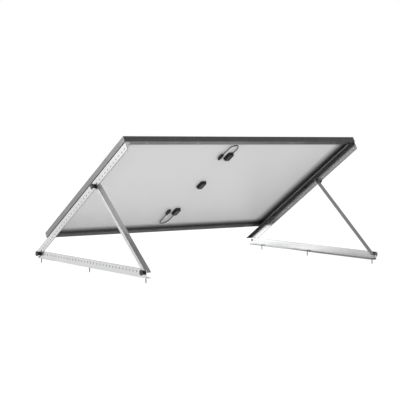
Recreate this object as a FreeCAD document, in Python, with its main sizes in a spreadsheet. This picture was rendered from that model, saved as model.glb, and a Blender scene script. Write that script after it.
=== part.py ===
import FreeCAD, Part
import math
import os
import re
import Sketcher

# Tilt mount with its framed solar panel. Millimetres, +Z up, panel facing up and towards +Y.
# The left leg set lies at -X and is the one modelled; the right one is its mirror image.

os.makedirs("parts", exist_ok=True)
doc = FreeCAD.newDocument("TiltMount")
sheet = doc.addObject("Spreadsheet::Sheet", "Sizes")

sizes = [
    ("panel_length", 1722, "long side of the panel"),
    ("panel_width", 1134, "short side, which lies up the slope"),
    ("frame_height", 35, "height of the panel's frame"),
    ("frame_wall", 1.8, "outer wall of the frame section"),
    ("lip_width", 9, "front lip over the glass"),
    ("lip_thickness", 1.5, "front lip"),
    ("chamber_width", 12, "hollow chamber under the glass"),
    ("chamber_base", 14, "underside of the chamber above the back flange"),
    ("long_flange", 34, "back flange of the long members"),
    ("short_flange", 22, "back flange of the short members"),
    ("flange_thickness", 1.8, "back flange"),
    ("earth_hole", 10, "holes in the back flange of the long members"),
    ("earth_hole_edge", 24, "those holes from the outer face"),
    ("earth_hole_inner", 353, "inner pair from the panel's middle"),
    ("earth_hole_outer", 703, "outer pair from the panel's middle"),
    ("key_length", 60, "leg of a corner key"),
    ("key_clearance", 0.2, "corner key in its chamber"),
    ("glass_thickness", 3.2, "front glass"),
    ("cell_thickness", 0.4, "cells"),
    ("back_thickness", 0.8, "back sheet"),
    ("seal_thickness", 0.6, "edge seal above and below the glass"),
    ("edge_gap", 1.2, "glass edge to the frame wall"),
    ("seal_width", 6, "edge seal across its width"),
    ("cell_end_margin", 16, "cells from the panel's lower and upper edge"),
    ("cell_side_margin", 19, "cells from the panel's sides"),
    ("cell_gap", 2, "between cells"),
    ("middle_gap", 14, "between the two halves of the cell field"),
    ("cell_rows", 6, "cells up the slope"),
    ("cell_columns", 18, "cells along the panel"),
    ("box_length", 68, "junction box up the slope"),
    ("box_width", 36, "junction box across"),
    ("box_height", 16, "junction box body"),
    ("box_corner", 5, "junction box corner radius"),
    ("lid_height", 4, "junction box lid"),
    ("lid_inset", 2, "lid inside the outline of the box"),
    ("box_spacing", 345, "between junction boxes"),
    ("box_shift_up", 16, "middle box above the panel's middle"),
    ("box_shift_side", 10, "boxes left of the panel's middle"),
    ("lead_size", 6.5, "lead across"),
    ("lead_lift", 11, "centre of the lead behind the back sheet"),
    ("gland_size", 13, "gland on the box"),
    ("gland_length", 10, "gland on the box"),
    ("gland_shift", 3, "gland right of the box's middle"),
    ("plug_size", 19, "plug across its collar"),
    ("plug_waist", 15, "plug across its body"),
    ("plug_length", 54, "plug"),
    ("collar_length", 16, "collar of the plug"),
    ("plug_side", 62, "plug left of its box's middle"),
    ("lower_reach", 107, "bend of the lower lead beyond its gland"),
    ("upper_reach", 91, "bend of the upper lead beyond its gland"),
    ("hole_pitch", 37, "row of holes in the rails"),
    ("hole_count", 35, "holes in a rail"),
    ("hole_size", 7, "holes in the rails"),
    ("hole_edge", 18, "row of holes from the free edge"),
    ("rail_end", 25, "last hole to the rail's end"),
    ("rail_leg", 50, "perforated leg of a rail"),
    ("rail_flange", 35, "plain leg of a rail"),
    ("rail_steel", 3, "rail thickness"),
    ("rail_bend", 4, "outer bend radius of the rails and struts"),
    ("rail_corner", 4, "corners at the ends of a rail"),
    ("rail_inset", 3, "top rail inside the panel's side"),
    ("panel_start", 152, "front pivot to the panel's lower edge"),
    ("upper_step", 23, "holes from the front pivot to the strut's upper pivot"),
    ("rear_step", 34, "holes from the front pivot to the strut's foot"),
    ("strut_step", 19, "strut between its pivots, in hole pitches"),
    ("pivot_gap", 0.3, "running gap between the bars at a pivot"),
    ("strut_leg", 20, "strut leg against the rails"),
    ("strut_flange", 35, "strut leg across"),
    ("strut_steel", 2.5, "strut thickness"),
    ("strut_row", 10, "strut hole from its corner"),
    ("strut_end", 12, "strut hole to its end"),
    ("strut_hole", 6.6, "strut holes"),
    ("bolt_size", 6, "pivot bolts"),
    ("bolt_head", 10, "pivot bolt heads across flats"),
    ("head_height", 4, "pivot bolt heads"),
    ("bolt_reach", 14, "pivot bolt inside its knob"),
    ("spacer_size", 24, "spacer at the upper pivot"),
    ("knob_size", 27, "knob across its lobes"),
    ("knob_waist", 16, "knob neck"),
    ("knob_base", 25, "knob base ring"),
    ("knob_length", 22, "knob"),
    ("knob_ring", 5, "knob base ring length"),
    ("knob_head", 9, "knob head length"),
    ("knob_flute", 3, "flute radius in the knob's head"),
    ("knob_flutes", 6, "flutes round the knob's head"),
    ("knob_bore_gap", 0.1, "knob bore round its bolt"),
    ("fixing_side", 12, "panel bolts from the rail's corner"),
    ("fixing_spacing", 400, "between the panel bolts of a rail"),
    ("fixing_reach", 3, "panel bolt beyond its nut"),
    ("nut_height", 5, "nuts"),
    ("foot_side", 13.5, "foot screw from the web's outer face"),
    ("foot_drop", 31, "foot screw below the rail"),
    ("foot_size", 6, "foot screw"),
    ("foot_neck", 5.6, "foot screw's neck through the rail"),
    ("foot_neck_drop", 1, "neck below the rail"),
    ("foot_tip", 9, "foot screw's point"),
    ("foot_tip_size", 1.6, "end of the point"),
    ("foot_head", 8, "foot screw head across flats"),
    ("foot_head_height", 4.5, "foot screw head"),
    ("foot_collar", 11, "foot screw collar"),
    ("foot_collar_height", 1.2, "foot screw collar"),
    ("foot_washer", 14, "sealing washer"),
    ("foot_washer_height", 1.6, "sealing washer"),
    ("foot_clearance", 0.5, "foot screw in its hole, across"),
    ("foot_front_left", 0, "left front screw from the front pivot, in hole pitches"),
    ("foot_front_right", 3.5, "right front screw from the front pivot, in hole pitches"),
    ("foot_middle", 17, "middle screws from the front pivot, in hole pitches"),
    ("foot_rear", 34, "rear screws from the front pivot, in hole pitches"),
]
size = {}
for row, (name, value, note) in enumerate(sizes, 1):
    sheet.set(f"A{row}", note)
    sheet.set(f"B{row}", str(value))
    sheet.setAlias(f"B{row}", name)
doc.recompute()
for name, value, note in sizes:
    size[name] = float(sheet.get(name))

# Distances that follow from the sizes, written as expressions on the sheet.
front_run = "(upper_step*hole_pitch)"
rear_run = "(rear_step*hole_pitch)"
strut_run = "(strut_step*hole_pitch)"
tilt = f"acos(({front_run}^2 + {rear_run}^2 - {strut_run}^2)/(2*{front_run}*{rear_run}))"
strut_rise = f"acos(({rear_run}^2 + {strut_run}^2 - {front_run}^2)/(2*{rear_run}*{strut_run}))"
rail_back = "(rail_leg - hole_edge)"
rail_length = "((hole_count - 1)*hole_pitch + 2*rail_end)"
pivot_y = f"(((hole_count - 1)*hole_pitch + rail_end - rail_end*cos({tilt}) - {rail_back}*sin({tilt}))/2)"
pivot_z = f"({rail_back} + foot_drop)"
rail_x = "(-panel_length/2 + rail_inset)"
base_face = "(rail_steel + pivot_gap)"
strut_face = "(2*rail_steel + 2*pivot_gap)"
laminate = "(glass_thickness + cell_thickness + back_thickness)"
slot_floor = f"(frame_height - lip_thickness - 2*seal_thickness - {laminate})"
back_face = f"({slot_floor} + seal_thickness)"
panel_middle = "(panel_start + panel_width/2)"


def link(target, path, text):
    """Bind a property to an expression on the sheet's names."""
    words = re.sub(r"[a-z][a-z_]+", lambda m: "Sizes." + m.group() if m.group() in size else m.group(), text)
    target.setExpression(path, words)


def solve(text):
    """Value of an expression, worked out by the document."""
    probe = doc.addObject("Part::Vertex", "Probe")
    link(probe, "X", text)
    probe.recompute()
    value = float(probe.X)
    doc.removeObject(probe.Name)
    return value


def place(target, x, y, z, turn="0"):
    """Place at x, y, z and turn about X, all as expressions."""
    target.Placement = FreeCAD.Placement(FreeCAD.Vector(0, 0, 0), FreeCAD.Rotation(FreeCAD.Vector(1, 0, 0), 1))
    link(target, "Placement.Base.x", x)
    link(target, "Placement.Base.y", y)
    link(target, "Placement.Base.z", z)
    link(target, "Placement.Rotation.Angle", turn)


def placeOnPanel(target, x, down, up):
    """Place in the tilted frame of the panel: down the slope, and up from the hole row to the front."""
    y = f"{pivot_y} + ({down})*cos({tilt}) + ({up})*sin({tilt})"
    z = f"{pivot_z} - ({down})*sin({tilt}) + ({up})*cos({tilt})"
    place(target, x, y, z, f"-{tilt}")


def newBody(label):
    body = doc.addObject("PartDesign::Body", label)
    body.Label = label
    return body


def newSketch(body, name, role, offset="0"):
    sketch = body.newObject("Sketcher::SketchObject", name)
    plane = [f for f in body.Origin.OriginFeatures if f.Role == role][0]
    sketch.AttachmentSupport = [(plane, "")]
    sketch.MapMode = "FlatFace"
    link(sketch, "AttachmentOffset.Base.z", offset)
    return sketch


def axis(body, role):
    return [f for f in body.Origin.OriginFeatures if f.Role == role][0]


def outline(sketch, points):
    """Closed outline through points given as pairs of expressions."""
    first = sketch.GeometryCount
    spots = [FreeCAD.Vector(solve(x), solve(y), 0) for x, y in points]
    count = len(spots)
    for i in range(count):
        sketch.addGeometry(Part.LineSegment(spots[i], spots[(i + 1) % count]))
    for i in range(count):
        sketch.addConstraint(Sketcher.Constraint("Coincident", first + i, 2, first + (i + 1) % count, 1))
    for i, (x, y) in enumerate(points):
        at = sketch.addConstraint(Sketcher.Constraint("DistanceX", first + i, 1, spots[i].x))
        link(sketch, f"Constraints[{at}]", x)
        at = sketch.addConstraint(Sketcher.Constraint("DistanceY", first + i, 1, spots[i].y))
        link(sketch, f"Constraints[{at}]", y)


def circle(sketch, x, y, across):
    spot = FreeCAD.Vector(solve(x), solve(y), 0)
    ring = sketch.addGeometry(Part.Circle(spot, FreeCAD.Vector(0, 0, 1), solve(across) / 2))
    at = sketch.addConstraint(Sketcher.Constraint("DistanceX", ring, 3, spot.x))
    link(sketch, f"Constraints[{at}]", x)
    at = sketch.addConstraint(Sketcher.Constraint("DistanceY", ring, 3, spot.y))
    link(sketch, f"Constraints[{at}]", y)
    at = sketch.addConstraint(Sketcher.Constraint("Diameter", ring, solve(across)))
    link(sketch, f"Constraints[{at}]", across)


def pad(body, sketch, name, length, reverse=False, middle=False):
    feature = body.newObject("PartDesign::Pad", name)
    feature.Profile = sketch
    feature.Reversed = reverse
    if middle:
        feature.SideType = "Symmetric"
    link(feature, "Length", length)
    doc.recompute()
    return feature


def cut(body, sketch, name, depth):
    """Pocket to both sides of its sketch; it must take material away."""
    before = body.Shape.Volume
    feature = body.newObject("PartDesign::Pocket", name)
    feature.Profile = sketch
    feature.SideType = "Symmetric"
    link(feature, "Length", depth)
    doc.recompute()
    if body.Shape.Volume > before - 1e-3:
        raise RuntimeError(f"{name} cuts nothing")
    return feature


def roundEdges(body, name, base, radius, wanted):
    names = [f"Edge{i}" for i, edge in enumerate(base.Shape.Edges, 1) if wanted(edge)]
    feature = body.newObject("PartDesign::Fillet", name)
    feature.Base = (base, names)
    link(feature, "Radius", radius)
    doc.recompute()
    return feature


def mirrorRight(source, label):
    twin = doc.addObject("Part::Mirroring", label)
    twin.Label = label
    twin.Source = source
    twin.Base = FreeCAD.Vector(0, 0, 0)
    twin.Normal = FreeCAD.Vector(1, 0, 0)
    return twin


def group(label, members):
    together = doc.addObject("Part::Compound", label)
    together.Label = label
    together.Links = members
    return together


# Rails: one perforated angle section, with its flange below or above the row of holes.
def perforatedRail(label, up):
    body = newBody(label)
    corner = f"{up}*{rail_back}"
    free = f"-({up})*hole_edge"
    inner = f"{up}*({rail_back} - rail_steel)"
    section = newSketch(body, label + "Section", "XZ_Plane", "-rail_end")
    outline(section, [("0", free), ("0", corner), ("rail_flange", corner), ("rail_flange", inner),
                      ("rail_steel", inner), ("rail_steel", free)])
    bar = pad(body, section, label + "Bar", rail_length)
    level = solve(corner)
    bent = roundEdges(body, label + "Bend", bar, "rail_bend",
                      lambda e: abs(e.CenterOfMass.x) < 1e-3 and abs(e.CenterOfMass.z - level) < 1e-3
                      and e.Length > 2 * size["rail_leg"])
    roundEdges(body, label + "Corners", bent, "rail_corner", lambda e: abs(e.Length - size["rail_steel"]) < 1e-3)
    spot = newSketch(body, label + "Hole", "YZ_Plane")
    circle(spot, "0", "0", "hole_size")
    hole = cut(body, spot, label + "Drilling", "4*rail_steel")
    row = body.newObject("PartDesign::LinearPattern", label + "Row")
    row.Originals = [hole]
    row.Direction = (axis(body, "Y_Axis"), [""])
    row.Reversed = True
    link(row, "Length", "(hole_count - 1)*hole_pitch")
    link(row, "Occurrences", "hole_count")
    body.Tip = row
    doc.recompute()
    return body


def flangeHoles(body, name, across, spots):
    sketch = newSketch(body, name, "XY_Plane")
    for x, y in spots:
        circle(sketch, x, y, across)
    feature = cut(body, sketch, name + "Drilling", "4*rail_leg")
    body.Tip = feature
    return feature


def foot_y(step):
    return f"-({step})*hole_pitch"


baseLeft = perforatedRail("base_rail_left", "-1")
flangeHoles(baseLeft, "LeftFeet", "foot_size + foot_clearance",
            [("foot_side", foot_y(k)) for k in ("foot_front_left", "foot_middle", "foot_rear")])
place(baseLeft, f"{rail_x} + {base_face}", pivot_y, pivot_z)

baseTwin = perforatedRail("BaseRailTwin", "-1")
flangeHoles(baseTwin, "RightFeet", "foot_size + foot_clearance",
            [("foot_side", foot_y(k)) for k in ("foot_front_right", "foot_middle", "foot_rear")])
place(baseTwin, f"{rail_x} + {base_face}", pivot_y, pivot_z)
baseRight = mirrorRight(baseTwin, "base_rail_right")

topLeft = perforatedRail("top_rail_left", "1")
fixings = [f"-({panel_middle}) + {k}*fixing_spacing" for k in (-1, 0, 1)]
flangeHoles(topLeft, "Fixings", "hole_size", [("fixing_side", k) for k in fixings])
placeOnPanel(topLeft, rail_x, "0", "0")
topRight = mirrorRight(topLeft, "top_rail_right")


# Struts: plain angle, small leg against the rails and wide leg across on the upper side.
strut = newBody("strut_left")
section = newSketch(strut, "StrutSection", "XZ_Plane", "strut_end")
outline(section, [("0", "strut_row - strut_leg"), ("0", "strut_row"), ("strut_flange", "strut_row"),
                  ("strut_flange", "strut_row - strut_steel"), ("strut_steel", "strut_row - strut_steel"),
                  ("strut_steel", "strut_row - strut_leg")])
bar = pad(strut, section, "StrutBar", f"{strut_run} + 2*strut_end", reverse=True)
link(section, "AttachmentOffset.Base.z", "strut_end")
roundEdges(strut, "StrutBend", bar, "rail_bend - 1",
           lambda e: abs(e.CenterOfMass.x) < 1e-3 and abs(e.CenterOfMass.z - size["strut_row"]) < 1e-3
           and e.Length > 2 * size["rail_leg"])
ends = newSketch(strut, "StrutHoles", "YZ_Plane")
circle(ends, "0", "0", "strut_hole")
circle(ends, strut_run, "0", "strut_hole")
strut.Tip = cut(strut, ends, "StrutDrilling", "4*strut_steel")
place(strut, f"{rail_x} + {strut_face}", f"{pivot_y} - {rear_run}", pivot_z, strut_rise)
strutRight = mirrorRight(strut, "strut_right")


# Panel frame: four lengths of one section with mitred ends.
def frameMember(label, plane, half, run, flange, sign):
    body = newBody(label)
    section = newSketch(body, label + "Section", plane)

    def at(depth, height):
        return (f"({sign})*({half} - ({depth}))", height)

    outline(section, [at("0", "0"), at(flange, "0"), at(flange, "flange_thickness"),
                      at("frame_wall", "flange_thickness"), at("frame_wall", "chamber_base"),
                      at("chamber_width", "chamber_base"), at("chamber_width", slot_floor),
                      at("frame_wall", slot_floor), at("frame_wall", "frame_height - lip_thickness"),
                      at("lip_width", "frame_height - lip_thickness"), at("lip_width", "frame_height"),
                      at("0", "frame_height")])
    outline(section, [at("frame_wall", "chamber_base + frame_wall"),
                      at("chamber_width - frame_wall", "chamber_base + frame_wall"),
                      at("chamber_width - frame_wall", f"{slot_floor} - frame_wall"),
                      at("frame_wall", f"{slot_floor} - frame_wall")])
    pad(body, section, label + "Bar", run, middle=True)
    mitre = newSketch(body, label + "Mitre", "XY_Plane")
    for end in ("1", "-1"):
        corners = []
        for along, depth in (("0", "0"), ("0", flange), (flange, flange)):
            across = f"({sign})*({half} - ({depth}))"
            lengthwise = f"{end}*({run}/2 - ({along}))"
            corners.append((lengthwise, across) if plane == "YZ_Plane" else (across, lengthwise))
        outline(mitre, corners)
    cut(body, mitre, label + "Ends", "4*frame_height")
    return body


frames = []
for label, sign in (("frame_bottom", "1"), ("frame_top", "-1")):
    member = frameMember(label, "YZ_Plane", "panel_width/2", "panel_length", "long_flange", sign)
    spots = newSketch(member, label + "Holes", "XY_Plane")
    for x in ("-earth_hole_outer", "-earth_hole_inner", "earth_hole_inner", "earth_hole_outer"):
        circle(spots, x, f"({sign})*(panel_width/2 - earth_hole_edge)", "earth_hole")
    member.Tip = cut(member, spots, label + "Drilling", "4*flange_thickness")
    frames.append(member)
for label, sign in (("frame_left", "-1"), ("frame_right", "1")):
    member = frameMember(label, "XZ_Plane", "panel_length/2", "panel_width", "short_flange", sign)
    spots = newSketch(member, label + "Holes", "XY_Plane")
    for k in ("-1", "0", "1"):
        circle(spots, f"({sign})*(panel_length/2 - rail_inset - fixing_side)", f"{k}*fixing_spacing", "hole_size")
    member.Tip = cut(member, spots, label + "Drilling", "4*flange_thickness")
    frames.append(member)
for member in frames:
    placeOnPanel(member, "0", f"-{panel_middle}", rail_back)


def panelBox(name, x, y, z, length, width, height):
    """Box in the panel's own frame: z counts from the back of the frame."""
    box = doc.addObject("Part::Box", name)
    link(box, "Length", length)
    link(box, "Width", width)
    link(box, "Height", height)
    placeOnPanel(box, x, f"-{panel_middle} + ({y})", f"{rail_back} + ({z})")
    return box


def centredBox(name, length, width, z, height):
    return panelBox(name, f"-({length})/2", f"-({width})/2", z, length, width, height)


# Corner keys in the frame's chambers.
keys = []
key_wide = "(chamber_width - 2*frame_wall - 2*key_clearance)"
key_tall = f"({slot_floor} - chamber_base - 2*frame_wall - 2*key_clearance)"
key_z = "(chamber_base + frame_wall + key_clearance)"
for i, (sx, sy) in enumerate(((-1, -1), (1, -1), (1, 1), (-1, 1))):
    inset = "(frame_wall + key_clearance)"
    far = "(frame_wall + key_clearance + key_length)"
    x_low = f"-panel_length/2 + {inset}" if sx < 0 else f"panel_length/2 - {far}"
    y_low = f"-panel_width/2 + {inset}" if sy < 0 else f"panel_width/2 - {far}"
    x_near = x_low if sx < 0 else f"panel_length/2 - {inset} - {key_wide}"
    y_near = y_low if sy < 0 else f"panel_width/2 - {inset} - {key_wide}"
    long_leg = panelBox(f"KeyAlong{i}", x_low, y_near, key_z, "key_length", key_wide, key_tall)
    short_leg = panelBox(f"KeyAcross{i}", x_near, y_low, key_z, key_wide, "key_length", key_tall)
    key = doc.addObject("Part::Fuse", f"Key{i}")
    key.Base = long_leg
    key.Tool = short_leg
    keys.append(key)
cornerKeys = group("corner_keys", keys)

# Glass, cells and back sheet, held in the slot by the edge seal.
glass_long = "(panel_length - 2*frame_wall - 2*edge_gap)"
glass_wide = "(panel_width - 2*frame_wall - 2*edge_gap)"
backsheet = centredBox("backsheet", glass_long, glass_wide, back_face, "back_thickness")
glass = centredBox("glass", glass_long, glass_wide, f"{back_face} + back_thickness + cell_thickness",
                   "glass_thickness")

sealBlock = centredBox("SealBlock", "panel_length - 2*frame_wall", "panel_width - 2*frame_wall", slot_floor,
                       f"{laminate} + 2*seal_thickness")
sealRoom = centredBox("SealRoom", glass_long, glass_wide, back_face, laminate)
sealOpening = centredBox("SealOpening", "panel_length - 2*frame_wall - 2*seal_width",
                         "panel_width - 2*frame_wall - 2*seal_width", "0", "frame_height")
sealRing = doc.addObject("Part::Cut", "SealRing")
sealRing.Base = sealBlock
sealRing.Tool = sealRoom
edgeSeal = doc.addObject("Part::Cut", "edge_seal")
edgeSeal.Base = sealRing
edgeSeal.Tool = sealOpening
doc.recompute()

cells = []
rows = int(size["cell_rows"])
half_columns = int(size["cell_columns"]) // 2
field_wide = size["panel_width"] - 2 * size["cell_end_margin"]
half_field = size["panel_length"] / 2 - size["cell_side_margin"] - size["middle_gap"] / 2
cell_length = (field_wide - (rows - 1) * size["cell_gap"]) / rows
cell_width = (half_field - (half_columns - 1) * size["cell_gap"]) / half_columns
for column in range(2 * half_columns):
    side = 1 if column >= half_columns else -1
    step = column - half_columns if side > 0 else half_columns - 1 - column
    near = size["middle_gap"] / 2 + step * (cell_width + size["cell_gap"])
    x = near if side > 0 else -near - cell_width
    for place_row in range(rows):
        y = -field_wide / 2 + place_row * (cell_length + size["cell_gap"])
        cells.append(Part.makeBox(cell_width, cell_length, size["cell_thickness"], FreeCAD.Vector(x, y, 0)))
solarCells = doc.addObject("Part::Feature", "solar_cells")
solarCells.Shape = Part.makeCompound(cells)
placeOnPanel(solarCells, "0", f"-{panel_middle}", f"{rail_back} + {back_face} + back_thickness")


# Junction boxes in a row up the middle of the back sheet, each with a lid.
def boxMiddle(step):
    return f"-{panel_middle} - box_shift_up - ({step})*box_spacing"


boxes = []
lids = []
for label, step in (("junction_box_lower", "-1"), ("junction_box_middle", "0"), ("junction_box_upper", "1")):
    body = newBody(label)
    sketch = newSketch(body, label + "Outline", "XY_Plane")
    outline(sketch, [("-box_width/2", "-box_length/2"), ("box_width/2", "-box_length/2"),
                     ("box_width/2", "box_length/2"), ("-box_width/2", "box_length/2")])
    block = pad(body, sketch, label + "Block", "box_height", reverse=True)
    body.Tip = roundEdges(body, label + "Corners", block, "box_corner",
                          lambda e: abs(e.tangentAt(e.FirstParameter).z) > 0.9)
    placeOnPanel(body, "-box_shift_side", boxMiddle(step), f"{rail_back} + {back_face}")
    boxes.append(body)
    cover = newBody(label + "_lid")
    sketch = newSketch(cover, label + "LidOutline", "XY_Plane")
    outline(sketch, [("-box_width/2 + lid_inset", "-box_length/2 + lid_inset"),
                     ("box_width/2 - lid_inset", "-box_length/2 + lid_inset"),
                     ("box_width/2 - lid_inset", "box_length/2 - lid_inset"),
                     ("-box_width/2 + lid_inset", "box_length/2 - lid_inset")])
    block = pad(cover, sketch, label + "LidBlock", "lid_height", reverse=True)
    cover.Tip = roundEdges(cover, label + "LidCorners", block, "box_corner - lid_inset",
                           lambda e: abs(e.tangentAt(e.FirstParameter).z) > 0.9)
    placeOnPanel(cover, "-box_shift_side", boxMiddle(step), f"{rail_back} + {back_face} - box_height")
    lids.append(cover)
boxLids = group("box_lids", lids)

# Leads: out of the outer boxes, away from the middle and back in a U to a plug beside the box.
leads = []
glands = []
plugs = []
lead_level = f"{rail_back} + {back_face} - lead_lift"
for name, step, away in (("lower", "-1", "1"), ("upper", "1", "-1")):
    gland = doc.addObject("Part::Cylinder", "gland_" + name)
    link(gland, "Radius", "gland_size/2")
    link(gland, "Height", "gland_length")
    start = f"box_length/2" if away == "1" else "-box_length/2 - gland_length"
    y = f"{boxMiddle(step)} + {start}"
    placeOnPanel(gland, "-box_shift_side + gland_shift", y, lead_level)
    link(gland, "Placement.Rotation.Angle", f"-(90deg + {tilt})")
    glands.append(gland)

    plug = newBody("plug_" + name)
    sketch = newSketch(plug, name + "PlugProfile", "XY_Plane")
    outline(sketch, [("0", "0"), ("plug_waist/2 - 2", "0"), ("plug_waist/2", "2"),
                     ("plug_waist/2", "(plug_length - collar_length)/2"),
                     ("plug_size/2", "(plug_length - collar_length)/2"),
                     ("plug_size/2", "(plug_length + collar_length)/2"),
                     ("plug_waist/2", "(plug_length + collar_length)/2"),
                     ("plug_waist/2", "plug_length - 2"), ("plug_waist/2 - 2", "plug_length"),
                     ("0", "plug_length")])
    turned = plug.newObject("PartDesign::Revolution", name + "PlugTurned")
    turned.Profile = sketch
    turned.ReferenceAxis = (axis(plug, "Y_Axis"), [""])
    turned.Angle = 360
    doc.recompute()
    placeOnPanel(plug, "-box_shift_side - plug_side", f"{boxMiddle(step)} - plug_length/2", lead_level)
    plugs.append(plug)

# Route of a lead in the plane of the back sheet, as shares of the way to the plug's side and of its reach.
lower_shares = [(0, 0), (0, 0.2), (-0.03, 0.45), (0.06, 0.72), (0.24, 0.93), (0.5, 1), (0.82, 0.92),
                (0.98, 0.72), (0.96, 0.42), (1, 0.12)]
upper_shares = [(0, 0), (0, 0.22), (-0.03, 0.46), (0.04, 0.72), (0.22, 0.92), (0.5, 1), (0.8, 0.9),
                (0.98, 0.68), (0.96, 0.38), (1, 0.1)]


def leadRoute(shares, reach):
    """Points as x to the right of the box's middle and run away from it."""
    gland_end = size["box_length"] / 2 + size["gland_length"]
    side = -size["plug_side"] - size["gland_shift"]
    points = [(size["gland_shift"] + a * side, gland_end + b * reach) for a, b in shares]
    return points + [(-size["plug_side"], size["plug_length"] / 2)]


def tube(route, across, name):
    """Round tube along straight runs joined by tangent arcs as large as the runs allow."""
    points = [FreeCAD.Vector(x, y, 0) for x, y in route]
    edges = []
    radii = []
    last = points[0]
    length = 0
    for a, b, c in zip(points, points[1:], points[2:]):
        into = (b - a).normalize()
        out = (c - b).normalize()
        turn = into.getAngle(out)
        back = 0.45 * min((b - a).Length, (c - b).Length)
        radius = back / math.tan(turn / 2)
        radii.append(radius)
        start = b - into * back
        end = b + out * back
        middle = b + (out - into).normalize() * (radius / math.cos(turn / 2) - radius)
        edges.append(Part.makeLine(last, start))
        edges.append(Part.Arc(start, middle, end).toShape())
        length += (start - last).Length + radius * turn
        last = end
    edges.append(Part.makeLine(last, points[-1]))
    length += (points[-1] - last).Length
    path = Part.Wire(edges)
    along = (points[1] - points[0]).normalize()
    ring = Part.Wire([Part.makeCircle(across / 2, points[0], along)])
    solid = path.makePipeShell([ring], True, False)
    share = solid.Volume / (math.pi * across ** 2 / 4 * length)
    print(name, "length", round(length, 1), "volume share", round(share, 4),
          "radii", [round(r) for r in radii])
    return solid


for name, step, sign, shares in (("lower", "-1", 1, lower_shares), ("upper", "1", -1, upper_shares)):
    route = leadRoute(shares, size[name + "_reach"])
    lead = doc.addObject("Part::Feature", "lead_" + name)
    lead.Shape = tube([(x, sign * run) for x, run in route], size["lead_size"], "lead_" + name)
    placeOnPanel(lead, "-box_shift_side", boxMiddle(step), lead_level)
    leads.append(lead)


# Hardware with its axis along X, at the pivots of the left leg set.
def pivotSpot(name):
    if name == "front":
        return pivot_y, pivot_z
    if name == "rear":
        return f"{pivot_y} - {rear_run}", pivot_z
    return f"{pivot_y} - {front_run}*cos({tilt})", f"{pivot_z} + {front_run}*sin({tilt})"


def alongX(target, x, spot):
    y, z = pivotSpot(spot)
    target.Placement = FreeCAD.Placement(FreeCAD.Vector(0, 0, 0), FreeCAD.Rotation(FreeCAD.Vector(0, 1, 0), 90))
    link(target, "Placement.Base.x", f"{rail_x} + ({x})")
    link(target, "Placement.Base.y", y)
    link(target, "Placement.Base.z", z)


def rod(name, x_low, x_high, across, spot):
    piece = doc.addObject("Part::Cylinder", name)
    link(piece, "Radius", f"({across})/2")
    link(piece, "Height", f"({x_high}) - ({x_low})")
    alongX(piece, x_low, spot)
    return piece


def pivotBolt(name, x_low, x_head, spot):
    """Hexagon head on the inboard side, shank towards the knob."""
    shank = rod(name + "Shank", x_low, x_head, "bolt_size", spot)
    head = doc.addObject("Part::Prism", name + "Head")
    head.Polygon = 6
    link(head, "Circumradius", "bolt_head/2/cos(30)")
    link(head, "Height", "head_height")
    alongX(head, x_head, spot)
    bolt = doc.addObject("Part::Fuse", name)
    bolt.Base = head
    bolt.Tool = shank
    return bolt


front_low = "-pivot_gap - bolt_reach"
frontBolt = pivotBolt("FrontBolt", front_low, f"{base_face} + rail_steel", "front")
frontBolts = group("front_bolts", [frontBolt, mirrorRight(frontBolt, "FrontBoltTwin")])
upperBolt = pivotBolt("UpperBolt", front_low, f"{strut_face} + strut_steel + pivot_gap", "upper")
upperBolts = group("upper_bolts", [upperBolt, mirrorRight(upperBolt, "UpperBoltTwin")])
rearStud = rod("RearStud", f"{base_face} - pivot_gap - bolt_reach", f"{base_face} + rail_steel", "bolt_size", "rear")
rearStuds = group("rear_studs", [rearStud, mirrorRight(rearStud, "RearStudTwin")])
footBoltLeft = pivotBolt("foot_bolt_left", strut_face, f"{strut_face} + strut_steel", "rear")
footBoltRight = mirrorRight(footBoltLeft, "foot_bolt_right")

spacerDisc = rod("SpacerDisc", "rail_steel", f"{strut_face} - pivot_gap", "spacer_size", "upper")
spacerHole = rod("SpacerHole", "0", f"{strut_face}", "hole_size", "upper")
spacer = doc.addObject("Part::Cut", "Spacer")
spacer.Base = spacerDisc
spacer.Tool = spacerHole
spacers = group("pivot_spacers", [spacer, mirrorRight(spacer, "SpacerTwin")])


# Hand knobs: a fluted head, a neck and a base ring, turned about the bolt.
def knob(label, x_base, spot):
    body = newBody(label)
    sketch = newSketch(body, label + "Profile", "XY_Plane")
    bore = "(bolt_size/2 + knob_bore_gap)"
    bore_end = "-(bolt_reach + 1)"
    outline(sketch, [("0", bore), ("0", "knob_base/2"), ("-knob_ring", "knob_base/2"),
                     ("-(knob_ring + 1.5)", "knob_waist/2"), ("-(knob_length - knob_head)", "knob_waist/2"),
                     ("-(knob_length - knob_head)", "knob_size/2"), ("-(knob_length - 1.5)", "knob_size/2"),
                     ("-knob_length", "knob_size/2 - 1.5"), ("-knob_length", "0"),
                     (bore_end, "0"), (bore_end, bore)])
    turned = body.newObject("PartDesign::Revolution", label + "Turned")
    turned.Profile = sketch
    turned.ReferenceAxis = (axis(body, "X_Axis"), [""])
    turned.Angle = 360
    doc.recompute()
    flute = newSketch(body, label + "Flute", "YZ_Plane", "-knob_length")
    circle(flute, "0", "knob_size/2 + knob_flute/2", "2*knob_flute")
    groove = cut(body, flute, label + "Groove", "2*knob_head")
    around = body.newObject("PartDesign::PolarPattern", label + "Flutes")
    around.Originals = [groove]
    around.Axis = (axis(body, "X_Axis"), [""])
    around.Angle = 360
    link(around, "Occurrences", "knob_flutes")
    body.Tip = around
    doc.recompute()
    y, z = pivotSpot(spot)
    place(body, f"{rail_x} + ({x_base})", y, z)
    return body


knobs = []
for name, base in (("front", "-pivot_gap"), ("upper", "-pivot_gap"), ("rear", f"{base_face} - pivot_gap")):
    left = knob(f"knob_{name}_left", base, name)
    knobs.append(left)
    knobs.append(mirrorRight(left, f"knob_{name}_right"))


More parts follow.
